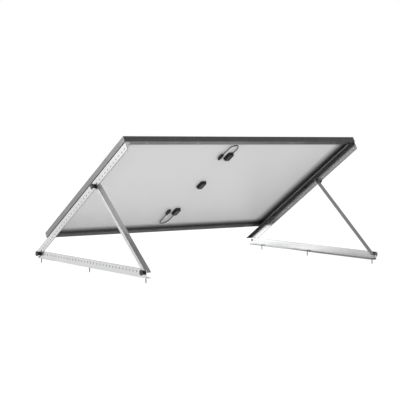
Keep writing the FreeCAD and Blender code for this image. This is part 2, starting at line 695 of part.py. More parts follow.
# Bolts that hold the rails to the frame's back flange: heads inside the frame, nuts behind the rail.
def hexPrism(name, across, height):
    piece = doc.addObject("Part::Prism", name)
    piece.Polygon = 6
    link(piece, "Circumradius", f"({across})/2/cos(30)")
    link(piece, "Height", height)
    return piece


panelBolts = []
panelNuts = []
bolt_low = f"{rail_back} - rail_steel - nut_height - fixing_reach"
for i, k in enumerate(fixings):
    x = f"{rail_x} + fixing_side"
    head = hexPrism(f"FixingHead{i}", "bolt_head", "head_height")
    placeOnPanel(head, x, k, f"{rail_back} + flange_thickness")
    shank = doc.addObject("Part::Cylinder", f"FixingShank{i}")
    link(shank, "Radius", "bolt_size/2")
    link(shank, "Height", "flange_thickness + rail_steel + nut_height + fixing_reach")
    placeOnPanel(shank, x, k, bolt_low)
    bolt = doc.addObject("Part::Fuse", f"Fixing{i}")
    bolt.Base = head
    bolt.Tool = shank
    panelBolts += [bolt, mirrorRight(bolt, f"FixingTwin{i}")]
    block = hexPrism(f"NutBlock{i}", "bolt_head", "nut_height")
    placeOnPanel(block, x, k, f"{rail_back} - rail_steel - nut_height")
    core = doc.addObject("Part::Cylinder", f"NutCore{i}")
    link(core, "Radius", "bolt_size/2")
    link(core, "Height", "2*nut_height")
    placeOnPanel(core, x, k, f"{rail_back} - rail_steel - 1.5*nut_height")
    nut = doc.addObject("Part::Cut", f"Nut{i}")
    nut.Base = block
    nut.Tool = core
    panelNuts += [nut, mirrorRight(nut, f"NutTwin{i}")]
railBolts = group("rail_bolts", panelBolts)
railNuts = group("rail_nuts", panelNuts)

# Foot screws through the base rails' flanges, with their sealing washers.
screws = []
washers = []
deck = f"{pivot_z} - {rail_back} + rail_steel"
for side, steps in ((-1, ("foot_front_left", "foot_middle", "foot_rear")),
                    (1, ("foot_front_right", "foot_middle", "foot_rear"))):
    for step in steps:
        i = len(screws)
        x = f"({-side})*({rail_x} + {base_face} + foot_side)"
        y = f"{pivot_y} - ({step})*hole_pitch"
        bottom = f"{deck} + foot_washer_height"
        tip = doc.addObject("Part::Cone", f"FootTip{i}")
        link(tip, "Radius1", "foot_tip_size/2")
        link(tip, "Radius2", "foot_size/2")
        link(tip, "Height", "foot_tip")
        place(tip, x, y, "0")
        shank = doc.addObject("Part::Cylinder", f"FootShank{i}")
        link(shank, "Radius", "foot_size/2")
        link(shank, "Height", "foot_drop - foot_neck_drop - foot_tip")
        place(shank, x, y, "foot_tip")
        neck = doc.addObject("Part::Cylinder", f"FootNeck{i}")
        link(neck, "Radius", "foot_neck/2")
        link(neck, "Height", f"{bottom} - foot_drop + foot_neck_drop")
        place(neck, x, y, "foot_drop - foot_neck_drop")
        collar = doc.addObject("Part::Cylinder", f"FootCollar{i}")
        link(collar, "Radius", "foot_collar/2")
        link(collar, "Height", "foot_collar_height")
        place(collar, x, y, bottom)
        head = hexPrism(f"FootHead{i}", "foot_head", "foot_head_height")
        place(head, x, y, f"{bottom} + foot_collar_height")
        screw = doc.addObject("Part::MultiFuse", f"FootScrew{i}")
        screw.Shapes = [tip, shank, neck, collar, head]
        screws.append(screw)
        disc = doc.addObject("Part::Cylinder", f"WasherDisc{i}")
        link(disc, "Radius", "foot_washer/2")
        link(disc, "Height", "foot_washer_height")
        place(disc, x, y, deck)
        bore = doc.addObject("Part::Cylinder", f"WasherBore{i}")
        link(bore, "Radius", "foot_neck/2")
        link(bore, "Height", "3*foot_washer_height")
        place(bore, x, y, f"{deck} - foot_washer_height")
        washer = doc.addObject("Part::Cut", f"Washer{i}")
        washer.Base = disc
        washer.Tool = bore
        washers.append(washer)
footScrews = group("foot_screws", screws)
footWashers = group("foot_washers", washers)

parts = [baseLeft, baseRight, footScrews, footWashers, frontBolts, rearStuds,
         topLeft, topRight, railBolts, railNuts, upperBolts, spacers]
parts += frames + [cornerKeys, glass, solarCells, backsheet, edgeSeal]
parts += boxes + [boxLids] + glands + leads + plugs
parts += [strut, strutRight, footBoltLeft, footBoltRight] + knobs

doc.recompute()
for item in doc.Objects:
    if "Invalid" in item.State or "Error" in item.State:
        raise RuntimeError(f"{item.Label}: {item.State}")
for item in parts:
    if item.Shape.isNull() or not item.Shape.isValid():
        raise RuntimeError(f"{item.Label} has no sound shape")
for item in parts:
    item.Shape.exportStep(f"parts/{item.Label}.step")
    box = item.Shape.BoundBox
    print(item.Label, len(item.Shape.Solids), round(item.Shape.Volume / 1000, 2),
          [round(v, 1) for v in (box.XMin, box.XMax, box.YMin, box.YMax, box.ZMin, box.ZMax)])
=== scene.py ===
from math import cos, pi, radians

import bmesh
import bpy
from mathutils import Matrix, Vector


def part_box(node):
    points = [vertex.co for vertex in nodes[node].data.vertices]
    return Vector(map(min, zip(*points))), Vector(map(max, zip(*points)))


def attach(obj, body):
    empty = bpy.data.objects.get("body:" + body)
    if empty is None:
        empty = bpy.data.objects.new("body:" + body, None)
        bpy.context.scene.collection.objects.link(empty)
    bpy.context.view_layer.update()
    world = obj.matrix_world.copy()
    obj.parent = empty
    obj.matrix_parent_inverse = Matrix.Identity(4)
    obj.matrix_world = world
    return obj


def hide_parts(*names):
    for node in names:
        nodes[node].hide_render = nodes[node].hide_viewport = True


# Looks for the tilt mount and its framed solar panel. Metres, +Z up, seen from the back and the left.

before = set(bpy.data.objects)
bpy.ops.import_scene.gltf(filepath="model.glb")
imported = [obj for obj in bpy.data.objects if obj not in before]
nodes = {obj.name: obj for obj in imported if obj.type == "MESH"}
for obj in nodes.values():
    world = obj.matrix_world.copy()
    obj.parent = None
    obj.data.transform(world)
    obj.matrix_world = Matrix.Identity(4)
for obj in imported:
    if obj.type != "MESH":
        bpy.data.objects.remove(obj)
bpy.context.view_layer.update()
bpy.ops.object.select_all(action="DESELECT")
print("frame loaded with", len(nodes), "nodes")

# Camera first, at the photograph's place.
cameraView = {"place": (-3.98529, -5.67978, 0.76477), "yaw": 0.60695, "pitch": -0.05178,
              "lens": 98.6, "sensor": 36}
cameraData = bpy.data.cameras.new("camera")
cameraData.sensor_width = cameraView["sensor"]
cameraData.lens = cameraView["lens"]
camera = bpy.data.objects.new("camera", cameraData)
bpy.context.scene.collection.objects.link(camera)
camera.location = cameraView["place"]
camera.rotation_euler = (pi / 2 + cameraView["pitch"], 0, -cameraView["yaw"])
bpy.context.scene.camera = camera
print("camera placed")

# The panel's own frame: x to the right, y down the slope and z out of its front, from the front pivot.
# The struts rise at an angle of their own.
slope = {"pivot": (0, 0.6224, 0.063), "tilt": radians(32.1619), "strutRise": radians(40.1192)}
panelFrame = Matrix.Translation(slope["pivot"]) @ Matrix.Rotation(-slope["tilt"], 4, "X")
panelFacts = {"middle": -0.719, "backSheet": 0.0605, "half": (0.861, 0.567)}
panelCentre = panelFrame @ Vector((0, panelFacts["middle"], 0))
panelTurn = (-slope["tilt"], 0, 0)
boxFacts = {"x": -0.010, "middle": -0.735, "step": 0.345, "size": (0.036, 0.068, 0.016), "lid": 0.004}
leadEnds = (("lower", 1), ("upper", -1))
boxRow = (("lower", 1), ("middle", 0), ("upper", -1))
legSets = (("left", -1), ("right", 1))


# Materials. Each has its own function; what is the same all over is set on the shader's socket.
def newMaterial(name, metallic=0.0, roughness=0.5, color=(0.8, 0.8, 0.8)):
    material = bpy.data.materials.new(name)
    material.use_nodes = True
    tree = material.node_tree
    shader = tree.nodes["Principled BSDF"]
    shader.inputs["Base Color"].default_value = (*color, 1)
    shader.inputs["Roughness"].default_value = roughness
    shader.inputs["Metallic"].default_value = metallic
    return material, tree, shader


def spot(tree, turn=(0, 0, 0), stretch=(1, 1, 1), start=(0, 0, 0)):
    # Object coordinates from a starting point, turned and stretched.
    coordinates = tree.nodes.new("ShaderNodeTexCoord")
    mapping = tree.nodes.new("ShaderNodeMapping")
    mapping.vector_type = "TEXTURE"
    mapping.inputs["Location"].default_value = start
    mapping.inputs["Rotation"].default_value = turn
    mapping.inputs["Scale"].default_value = stretch
    tree.links.new(coordinates.outputs["Object"], mapping.inputs["Vector"])
    return mapping.outputs["Vector"]


def parted(tree, vector):
    parts = tree.nodes.new("ShaderNodeSeparateXYZ")
    tree.links.new(vector, parts.inputs[0])
    return parts.outputs[0], parts.outputs[1], parts.outputs[2]


def noise(tree, vector, scale, detail=3.0, rough=0.5):
    texture = tree.nodes.new("ShaderNodeTexNoise")
    texture.inputs["Scale"].default_value = scale
    texture.inputs["Detail"].default_value = detail
    texture.inputs["Roughness"].default_value = rough
    tree.links.new(vector, texture.inputs["Vector"])
    return texture.outputs["Fac"]


def between(tree, value, low, high, fromLow=0.3, fromHigh=0.7):
    # The value's own range, spread over low to high and held there.
    spread = tree.nodes.new("ShaderNodeMapRange")
    spread.inputs["From Min"].default_value = fromLow
    spread.inputs["From Max"].default_value = fromHigh
    spread.inputs["To Min"].default_value = low
    spread.inputs["To Max"].default_value = high
    tree.links.new(value, spread.inputs["Value"])
    return spread.outputs["Result"]


def blendColors(tree, factor, first, second):
    mix = tree.nodes.new("ShaderNodeMix")
    mix.data_type = "RGBA"
    for socket, color in ((6, first), (7, second)):   # A and B of a colour mix
        if isinstance(color, tuple):
            mix.inputs[socket].default_value = (*color, 1)
        else:
            tree.links.new(color, mix.inputs[socket])
    tree.links.new(factor, mix.inputs[0])
    return mix.outputs[2]


def painted(tree, shader, color, roughness=None):
    tree.links.new(color, shader.inputs["Base Color"])
    if roughness is not None:
        tree.links.new(roughness, shader.inputs["Roughness"])


def raised(tree, shader, height, strength, distance):
    bump = tree.nodes.new("ShaderNodeBump")
    bump.inputs["Strength"].default_value = strength
    bump.inputs["Distance"].default_value = distance
    tree.links.new(height, bump.inputs["Height"])
    tree.links.new(bump.outputs["Normal"], shader.inputs["Normal"])


def calc(tree, kind, first, second=None):
    node = tree.nodes.new("ShaderNodeMath")
    node.operation = kind
    for socket, value in ((0, first), (1, second)):
        if value is None:
            continue
        if isinstance(value, (int, float)):
            node.inputs[socket].default_value = value
        else:
            tree.links.new(value, node.inputs[socket])
    return node.outputs[0]


def weighed(tree, first, second, share):
    # The first value by its share, and the second by the rest.
    return calc(tree, "ADD", calc(tree, "MULTIPLY", first, share), calc(tree, "MULTIPLY", second, 1 - share))


# Holes of the rails' upright legs: painted shade as dark rims round the holes on the outer side, and painted
# shade as a darker band along the leg's cut edge.
holeFacts = {"pitch": 0.037, "reach": 0.0058, "edge": 0.0022, "tone": 0.03, "skin": 0.0014,
             "freeEdge": 0.0171, "edgeShadeTone": 0.07}


def holeShade(tree, turn, outside):
    # First value: 1 on the outer rims of the holes, counted from the front pivot, where shade is painted.
    # Second: 1 on the cut edge, where shade is painted too.
    across, down, up = parted(tree, spot(tree, (turn, 0, 0), start=slope["pivot"]))
    skin = calc(tree, "GREATER_THAN", calc(tree, "ABSOLUTE", across), outside - holeFacts["skin"])
    steps = calc(tree, "DIVIDE", down, holeFacts["pitch"])
    share = calc(tree, "SUBTRACT", steps, calc(tree, "ROUND", steps))
    off = calc(tree, "MULTIPLY", share, holeFacts["pitch"])
    squares = calc(tree, "ADD", calc(tree, "MULTIPLY", off, off), calc(tree, "MULTIPLY", up, up))
    away = calc(tree, "SQRT", squares)
    shadedRims = calc(tree, "MULTIPLY", skin,
                between(tree, away, 1, 0, holeFacts["reach"] - holeFacts["edge"], holeFacts["reach"]))
    if turn != 0:   # the top rails' legs point down from the panel
        up = calc(tree, "MULTIPLY", up, -1)
    return shadedRims, calc(tree, "GREATER_THAN", up, holeFacts["freeEdge"])


railFacts = {"tone": 0.655, "strutShadedTone": 0.6, "darker": (0.95, 0.953, 0.957), "lighter": (1.05, 1.053, 1.057),
             "streaks": 12, "streakStretch": (0.012, 0.6, 0.012), "cloud": 9, "streakShare": 0.5,
             "greys": (0.35, 0.65), "marks": 90, "markStretch": (0.2, 0.05, 0.2), "roughness": (0.22, 0.34),
             "relief": (0.03, 0.00005)}


def railMetal(name, turn, drilled="", tone=railFacts["tone"]):
    # Drawn aluminium: streaks along the length, faint handling marks and a soft cloud.
    f = railFacts
    material, tree, shader = newMaterial(name, metallic=1.0)
    streaks = noise(tree, spot(tree, (turn, 0, 0), f["streakStretch"]), f["streaks"], detail=4, rough=0.6)
    cloud = noise(tree, spot(tree), f["cloud"])
    marks = noise(tree, spot(tree, (turn, 0, 0), f["markStretch"]), f["marks"], detail=2)
    grey = weighed(tree, streaks, cloud, f["streakShare"])
    darker, lighter = (tuple(tone * share for share in f[key]) for key in ("darker", "lighter"))
    color = blendColors(tree, between(tree, grey, 0, 1, *f["greys"]), darker, lighter)
    if drilled:
        outside = max(abs(end.x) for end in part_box(drilled))
        shadedRims, shadedEdge = holeShade(tree, turn, outside)
        # Painted shade: dark rims round the holes, for the shade inside the bores.
        color = blendColors(tree, shadedRims, color, (holeFacts["tone"],) * 3)
        # Painted shade along the leg's cut edge.
        color = blendColors(tree, shadedEdge, color, (holeFacts["edgeShadeTone"],) * 3)
    painted(tree, shader, color, between(tree, marks, *f["roughness"]))
    raised(tree, shader, marks, *f["relief"])
    return material


anodisedFacts = {"darker": (0.235, 0.236, 0.238), "lighter": (0.275, 0.275, 0.276), "metallic": 0.95,
                 "dust": 14, "dusty": (0.4, 0.75), "grain": 60, "grainStretch": (0.5, 0.5, 0.01),
                 "roughness": (0.24, 0.34), "relief": (0.03, 0.0001)}


def anodisedFrame():
    # Black anodised extrusion with a faint drawn grain and a little dust.
    f = anodisedFacts
    material, tree, shader = newMaterial("anodisedFrame", f["metallic"])
    grain = noise(tree, spot(tree, stretch=f["grainStretch"]), f["grain"])
    dust = noise(tree, spot(tree), f["dust"], detail=5, rough=0.65)
    color = blendColors(tree, between(tree, dust, 0, 1, *f["dusty"]), f["darker"], f["lighter"])
    painted(tree, shader, color, between(tree, grain, *f["roughness"]))
    raised(tree, shader, grain, *f["relief"])
    return material


steelFacts = {"patches": 240, "pits": 1500, "roughness": (0.3, 0.5), "relief": (0.08, 0.0001)}


def plainSteel(name, darker, lighter):
    material, tree, shader = newMaterial(name, metallic=1.0)
    patches = noise(tree, spot(tree), steelFacts["patches"])
    color = blendColors(tree, between(tree, patches, 0, 1), darker, lighter)
    painted(tree, shader, color, between(tree, patches, *steelFacts["roughness"]))
    raised(tree, shader, noise(tree, spot(tree), steelFacts["pits"], detail=2), *steelFacts["relief"])
    return material


mouldFacts = {"grain": 2600, "cloud": 60, "paler": (1.35, 0.004), "roughnessSpread": (-0.06, 0.1),
              "relief": (0.15, 0.00008)}


def moulding(name, color, roughness, gloss=0.5):
    # Moulded plastic with a fine spark-eroded grain.
    material, tree, shader = newMaterial(name)
    shader.inputs["Specular IOR Level"].default_value = gloss
    grain = noise(tree, spot(tree), mouldFacts["grain"], detail=2)
    cloud = noise(tree, spot(tree), mouldFacts["cloud"])
    times, more = mouldFacts["paler"]
    lighter = tuple(times * c + more for c in color)
    smooth, rough = mouldFacts["roughnessSpread"]
    painted(tree, shader, blendColors(tree, between(tree, cloud, 0, 1), color, lighter),
            between(tree, grain, roughness + smooth, roughness + rough))
    raised(tree, shader, grain, *mouldFacts["relief"])
    return material


sheathFacts = {"darker": (0.014, 0.014, 0.014), "lighter": (0.026, 0.026, 0.026), "cloud": 130,
               "roughness": (0.45, 0.6), "grain": 1800, "relief": (0.1, 0.0001)}


def cableSheath():
    f = sheathFacts
    material, tree, shader = newMaterial("cableSheath")
    cloud = noise(tree, spot(tree), f["cloud"])
    painted(tree, shader, blendColors(tree, between(tree, cloud, 0, 1), f["darker"], f["lighter"]),
            between(tree, cloud, *f["roughness"]))
    raised(tree, shader, noise(tree, spot(tree), f["grain"], detail=2), *f["relief"])
    return material


# Painted shade on the back sheet along each edge, where the frame shades the recess: two shares of the film's
# own colour that are left, and the distances off the edge that they belong to.
edgeShadeFacts = {"sides": (0.15, 1, 0.03, 0.1), "top": (0.2, 1, 0.006, 0.026), "bottom": (0.1, 1, 0.006, 0.07),
             "color": (0.05, 0.05, 0.05)}
filmFacts = {"darker": (0.638, 0.64, 0.64), "lighter": (0.653, 0.653, 0.65), "gloss": 0.2, "weave": 900,
             "cloud": 5, "weaveShare": 0.4, "tones": (0.35, 0.65), "roughness": (0.32, 0.36),
             "relief": (0.03, 0.00005)}


def backFilm():
    # Pale polymer film with a fine laminated texture and hardly any gloss, with painted shade along its edges.
    f = filmFacts
    material, tree, shader = newMaterial("backFilm")
    shader.inputs["Specular IOR Level"].default_value = f["gloss"]
    flat = spot(tree, panelTurn, start=panelCentre)
    x, y, _ = parted(tree, flat)
    halfX, halfY = panelFacts["half"]
    distances = {"sides": calc(tree, "SUBTRACT", halfX, calc(tree, "ABSOLUTE", x)),
                 "top": calc(tree, "ADD", halfY, y), "bottom": calc(tree, "SUBTRACT", halfY, y)}
    unshaded = 1
    for edge, distance in distances.items():
        unshaded = calc(tree, "MULTIPLY", unshaded, between(tree, distance, *edgeShadeFacts[edge]))
    weave = noise(tree, flat, f["weave"], detail=2)
    cloud = noise(tree, flat, f["cloud"], detail=4)
    tone = weighed(tree, weave, cloud, f["weaveShare"])
    color = blendColors(tree, between(tree, tone, 0, 1, *f["tones"]), f["darker"], f["lighter"])
    # Painted shade: the film darkens towards the frame on every edge.
    color = blendColors(tree, unshaded, edgeShadeFacts["color"], color)
    painted(tree, shader, color, between(tree, cloud, *f["roughness"]))
    raised(tree, shader, weave, *f["relief"])
    return material


glassFacts = {"color": (0.95, 0.97, 0.96), "bend": 1.45, "prism": 1100, "roughness": (0.03, 0.1),
              "relief": (0.03, 0.0001)}


def frontGlass():
    # Clear low-iron glass: see-through, with a light gloss that grows at a low angle.
    f = glassFacts
    material, tree, shader = newMaterial("frontGlass", color=f["color"])
    shader.inputs["Transmission Weight"].default_value = 1.0
    shader.inputs["IOR"].default_value = f["bend"]
    prism = noise(tree, spot(tree, panelTurn), f["prism"], detail=1)
    tree.links.new(between(tree, prism, *f["roughness"]), shader.inputs["Roughness"])
    raised(tree, shader, prism, *f["relief"])
    return material


cellFacts = {"endMargin": 0.016, "sideMargin": 0.019, "gap": 0.002, "middleGap": 0.014,
             "rows": 6, "columns": 9, "chamfer": 0.008,
             "fingerPitch": 0.0013, "finger": 0.00011, "ribbons": 10, "ribbon": 0.0009,
             "metallic": 0.1, "roughness": 0.22, "wafer": 3,
             "darker": (0.008, 0.010, 0.022), "lighter": (0.014, 0.017, 0.034),
             "fingerColor": (0.1, 0.105, 0.12), "ribbonColor": (0.5, 0.5, 0.5),
             "cornerColor": (0.6, 0.6, 0.6)}


def siliconCell():
    # Half-cut cells: fine fingers up the slope, ribbons across them and chamfered outer corners.
    f = cellFacts
    material, tree, shader = newMaterial("siliconCell", f["metallic"], f["roughness"])
    halfField = panelFacts["half"][0] - f["sideMargin"] - f["middleGap"] / 2
    pitchX = (halfField + f["gap"]) / f["columns"]
    pitchY = (2 * (panelFacts["half"][1] - f["endMargin"]) + f["gap"]) / f["rows"]
    cellY = pitchY - f["gap"]
    flat = spot(tree, panelTurn, start=panelCentre)
    x, y, _ = parted(tree, flat)
    fromMiddle = calc(tree, "SUBTRACT", calc(tree, "ABSOLUTE", x), f["middleGap"] / 2)
    inCellX = calc(tree, "MODULO", fromMiddle, pitchX)
    inCellY = calc(tree, "MODULO", calc(tree, "ADD", y, pitchY * f["rows"] / 2), pitchY)
    fingers = calc(tree, "LESS_THAN", calc(tree, "MODULO", inCellX, f["fingerPitch"]), f["finger"])
    ribbons = calc(tree, "LESS_THAN", calc(tree, "MODULO", inCellY, cellY / f["ribbons"]), f["ribbon"])
    fromEdge = calc(tree, "SUBTRACT", pitchX - f["gap"], inCellX)
    fromHalf = calc(tree, "ABSOLUTE", calc(tree, "SUBTRACT", inCellY, cellY / 2))
    fromSide = calc(tree, "SUBTRACT", cellY / 2, fromHalf)
    corners = calc(tree, "LESS_THAN", calc(tree, "ADD", fromEdge, fromSide), f["chamfer"])
    wafer = noise(tree, flat, f["wafer"], detail=2)
    color = blendColors(tree, between(tree, wafer, 0, 1), f["darker"], f["lighter"])
    color = blendColors(tree, fingers, color, f["fingerColor"])
    color = blendColors(tree, ribbons, color, f["ribbonColor"])
    painted(tree, shader, blendColors(tree, corners, color, f["cornerColor"]))
    return material


rubberFacts = {"darker": (0.022, 0.022, 0.022), "lighter": (0.045, 0.045, 0.045), "roughness": 0.75,
               "cloud": 300, "relief": (0.2, 0.0002)}


def softRubber():
    f = rubberFacts
    material, tree, shader = newMaterial("softRubber", roughness=f["roughness"])
    cloud = noise(tree, spot(tree), f["cloud"], detail=4)
    painted(tree, shader, blendColors(tree, between(tree, cloud, 0, 1), f["darker"], f["lighter"]))
    raised(tree, shader, cloud, *f["relief"])
    return material


finish = {
    "baseRail": railMetal("baseRailMetal", turn=0, drilled="base_rail_left"),
    "topRail": railMetal("topRailMetal", turn=-slope["tilt"], drilled="top_rail_left"),
    # Painted shade: the struts take the rail metal at a darker tone.
    "strut": railMetal("strutMetal", turn=slope["strutRise"], tone=railFacts["strutShadedTone"]),
    "frame": anodisedFrame(),
    "steel": plainSteel("zincSteel", darker=(0.1, 0.1, 0.103), lighter=(0.19, 0.19, 0.19)),
    "blackSteel": plainSteel("blackSteel", darker=(0.03, 0.03, 0.031), lighter=(0.06, 0.06, 0.061)),
    "key": railMetal("keyMetal", turn=0),
    "knob": moulding("knobPlastic", (0.014, 0.014, 0.014), roughness=0.5),
    "box": moulding("boxPlastic", (0.017, 0.017, 0.0175), roughness=0.5, gloss=0.28),
    "plug": moulding("plugPlastic", (0.011, 0.011, 0.011), roughness=0.45, gloss=0.28),
    "sheath": cableSheath(), "film": backFilm(), "glass": frontGlass(), "cell": siliconCell(),
    "rubber": softRubber(), "spacer": moulding("spacerPlastic", (0.05, 0.05, 0.05), roughness=0.5),
}
nodeFinish = {
    "base_rail_left": "baseRail", "base_rail_right": "baseRail", "top_rail_left": "topRail",
    "top_rail_right": "topRail", "strut_left": "strut", "strut_right": "strut", "frame_bottom": "frame",
    "frame_top": "frame", "frame_left": "frame", "frame_right": "frame", "corner_keys": "key",
    "glass": "glass", "solar_cells": "cell", "backsheet": "film", "edge_seal": "rubber",
    "junction_box_lower": "box", "junction_box_middle": "box", "junction_box_upper": "box", "box_lids": "box",
    "gland_lower": "plug", "gland_upper": "plug", "lead_lower": "sheath", "lead_upper": "sheath",
    "plug_lower": "plug", "plug_upper": "plug", "foot_washers": "rubber", "pivot_spacers": "spacer",
    "foot_bolt_left": "blackSteel", "foot_bolt_right": "blackSteel",
}
for name, node in nodes.items():
    chosen = finish[nodeFinish.get(name, "knob" if name.startswith("knob") else "steel")]
    node.data.materials.clear()
    node.data.materials.append(chosen)
print("materials made:", len(finish))

# Leads: out of the outer boxes, round in a U and back into a plug beside the box. Each share is a step
# across, from gland to plug, and a step along, of the loop's reach.
leadFacts = {
    "diameter": 0.0065, "level": 0.0495, "gland": 0.003, "plug": -0.062, "glandEnd": 0.044, "plugEnd": 0.027,
    "stepsAlong": 12, "stepsAround": 6,
    "lower": {"reach": 0.107, "length": 0.2587,
              "shares": [(0, 0), (0, 0.2), (-0.03, 0.45), (0.06, 0.72), (0.24, 0.93), (0.5, 1), (0.82, 0.92),
                         (0.98, 0.72), (0.96, 0.42), (1, 0.12)]},
    "upper": {"reach": 0.091, "length": 0.2279,
              "shares": [(0, 0), (0, 0.22), (-0.03, 0.46), (0.04, 0.72), (0.22, 0.92), (0.5, 1), (0.8, 0.9),
                         (0.98, 0.68), (0.96, 0.38), (1, 0.1)]},
}


def boxMiddle(sign):
    return boxFacts["middle"] + sign * boxFacts["step"]


def leadRoute(end, sign):
    facts = leadFacts
    side = facts["plug"] - facts["gland"]
    route = [(facts["gland"] + a * side, facts["glandEnd"] + b * facts[end]["reach"])
             for a, b in facts[end]["shares"]]
    route.append((facts["plug"], facts["plugEnd"]))
    return [panelFrame @ Vector((boxFacts["x"] + x, boxMiddle(sign) + sign * run, facts["level"]))
            for x, run in route]


def makeLead(end, sign):
    curve = bpy.data.curves.new("lead_" + end + "_sheath", "CURVE")
    curve.dimensions = "3D"
    spline = curve.splines.new("NURBS")
    points = leadRoute(end, sign)
    spline.points.add(len(points) - 1)
    for point, place in zip(spline.points, points):
        point.co = (*place, 1)
    spline.order_u = 3
    spline.use_endpoint_u = True
    spline.resolution_u = leadFacts["stepsAlong"]
    curve.bevel_depth = leadFacts["diameter"] / 2
    curve.bevel_resolution = leadFacts["stepsAround"]
    curve.use_fill_caps = True
    lead = bpy.data.objects.new("lead_" + end + "_sheath", curve)
    bpy.context.scene.collection.objects.link(lead)
    curve.materials.append(finish["sheath"])
    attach(lead, "panel")
    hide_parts("lead_" + end)
    return lead, points[0]


leads = {end: makeLead(end, sign) for end, sign in leadEnds}
print("leads laid")


# Modelling steps that several pieces share.
pickFacts = {"facing": 0.99, "hair": 1e-6, "upright": 0.9}


def deselect():
    bpy.ops.object.select_all(action="DESELECT")


def pick(kind, wanted):
    # Faces, edges or verts of the mesh in edit mode for which wanted is true.
    bpy.ops.mesh.select_all(action="DESELECT")
    bpy.ops.mesh.select_mode(type={"faces": "FACE", "edges": "EDGE", "verts": "VERT"}[kind])
    mesh = bmesh.from_edit_mesh(bpy.context.object.data)
    for item in getattr(mesh, kind):
        item.select_set(bool(wanted(item)))
    mesh.select_flush_mode()
    bmesh.update_edit_mesh(bpy.context.object.data)


def turned(name, profile, sides):
    # Round piece drawn up from a disc, step by step, along z. The profile is pairs of height and radius.
    deselect()
    low, radius = profile[0]
    bpy.ops.mesh.primitive_circle_add(vertices=sides, radius=radius, fill_type="NGON", location=(0, 0, low))
    piece = bpy.context.object
    piece.name = name
    bpy.ops.object.transform_apply()
    bpy.ops.object.mode_set(mode="EDIT")
    bpy.ops.mesh.select_all(action="SELECT")
    for (z0, r0), (z1, r1) in zip(profile, profile[1:]):
        bpy.ops.mesh.extrude_region_move(TRANSFORM_OT_translate={"value": (0, 0, z1 - z0)})
        if r1 != r0:
            bpy.ops.transform.resize(value=(r1 / r0, r1 / r0, 1))
    bpy.ops.mesh.select_all(action="SELECT")
    bpy.ops.mesh.normals_make_consistent(inside=False)
    bpy.ops.object.mode_set(mode="OBJECT")
    return piece


edgeAngles = {"bevel": 30, "smooth": 35}   # degrees


def soften(piece, width, segments=2):
    # Bevelled edges and smooth shading.
    deselect()
    piece.select_set(True)
    bpy.context.view_layer.objects.active = piece
    bevel = piece.modifiers.new("bevel", "BEVEL")
    bevel.width = width
    bevel.segments = segments
    bevel.limit_method = "ANGLE"
    bevel.angle_limit = radians(edgeAngles["bevel"])
    bpy.ops.object.modifier_apply(modifier=bevel.name)
    bpy.ops.object.shade_smooth_by_angle(angle=radians(edgeAngles["smooth"]))
    normals = piece.modifiers.new("normals", "WEIGHTED_NORMAL")
    normals.keep_sharp = True
    bpy.ops.object.modifier_apply(modifier=normals.name)


def joined(pieces):
    deselect()
    for piece in pieces:
        piece.select_set(True)
    bpy.context.view_layer.objects.active = pieces[0]
    bpy.ops.object.join()
    return bpy.context.object


def settle(piece, move, body, look, slotName, *replaced):
    # Bake the place into the mesh, then give the piece its finish and its body.
    piece.data.transform(move)
    piece.data.materials.clear()
    piece.data.materials.append(finish[look])
    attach(piece, body)
    if replaced:
        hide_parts(*replaced)
    return piece


def copied(piece, name):
    twin = piece.copy()
    twin.data = piece.data.copy()
    twin.name = name
    bpy.context.scene.collection.objects.link(twin)
    return twin


# Hand knobs: base ring, neck and a six-lobed head with a domed end. Flutes are steps from a flute's middle
# and the share of the radius that stays there.
knobFacts = {"sides": 48, "lobes": 6, "headFrom": 0.013, "inner": 0.0085, "edge": 0.0006, "near": 0.3,
             "flutes": ((0, 0.92), (1, 0.95), (2, 0.985)),
             "profile": [(0, 0.0125), (0.004, 0.0125), (0.005, 0.0115), (0.0065, 0.0061), (0.008, 0.0055),
                         (0.012, 0.0055), (0.013, 0.0065), (0.013, 0.0156), (0.0142, 0.0168), (0.0183, 0.0168),
                         (0.0197, 0.0156), (0.0197, 0.0075), (0.0205, 0.0065), (0.0205, 0.001)]}


def knobShape():
    k = knobFacts
    perLobe = k["sides"] // k["lobes"]
    knob = turned("knobShape", k["profile"], k["sides"])
    bpy.ops.object.mode_set(mode="EDIT")
    for column, share in k["flutes"]:
        def inFlute(vert):
            around = vert.co.to_2d()
            if vert.co.z < k["headFrom"] - pickFacts["hair"] or around.length < k["inner"]:
                return False
            step = (Vector((1, 0)).angle_signed(around) / (2 * pi / k["sides"])) % perLobe
            return abs(min(step, perLobe - step) - column) < k["near"]
        pick("verts", inFlute)
        bpy.ops.transform.resize(value=(share, share, 1))
    bpy.ops.object.mode_set(mode="OBJECT")
    soften(knob, k["edge"])
    return knob


knobMade = knobShape()
for name in [n for n in nodes if n.startswith("knob_")]:
    low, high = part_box(name)
    left = name.endswith("left")
    base = high.x if left else low.x
    place = Vector((base, (low.y + high.y) / 2, (low.z + high.z) / 2))
    move = Matrix.Translation(place) @ Matrix.Rotation(radians(-90 if left else 90), 4, "Y")
    settle(copied(knobMade, name + "_grip"), move, name, "knob", "black_plastic", name)
bpy.data.objects.remove(knobMade)
print("knobs made")

# Junction boxes: a body on a bead of sealant, with a lid that has a sunk field and two latches.
boxLook = {"corner": 0.005, "cornerSteps": 5, "edge": 0.0007,
           "pocketFace": 0.0002, "pocket": 0.003, "pocketDepth": 0.0006,
           "lidInset": 0.002, "field": 0.0045, "fieldSlope": 0.0008, "sink": 0.0008, "lidEdge": 0.0006,
           "latch": (0.009, 0.0022, 0.006), "latchIn": 0.0016, "latchDown": 0.0035, "latchEdge": 0.0004,
           "bead": 0.0035, "beadHeight": 0.0015, "beadEdge": 0.0012}


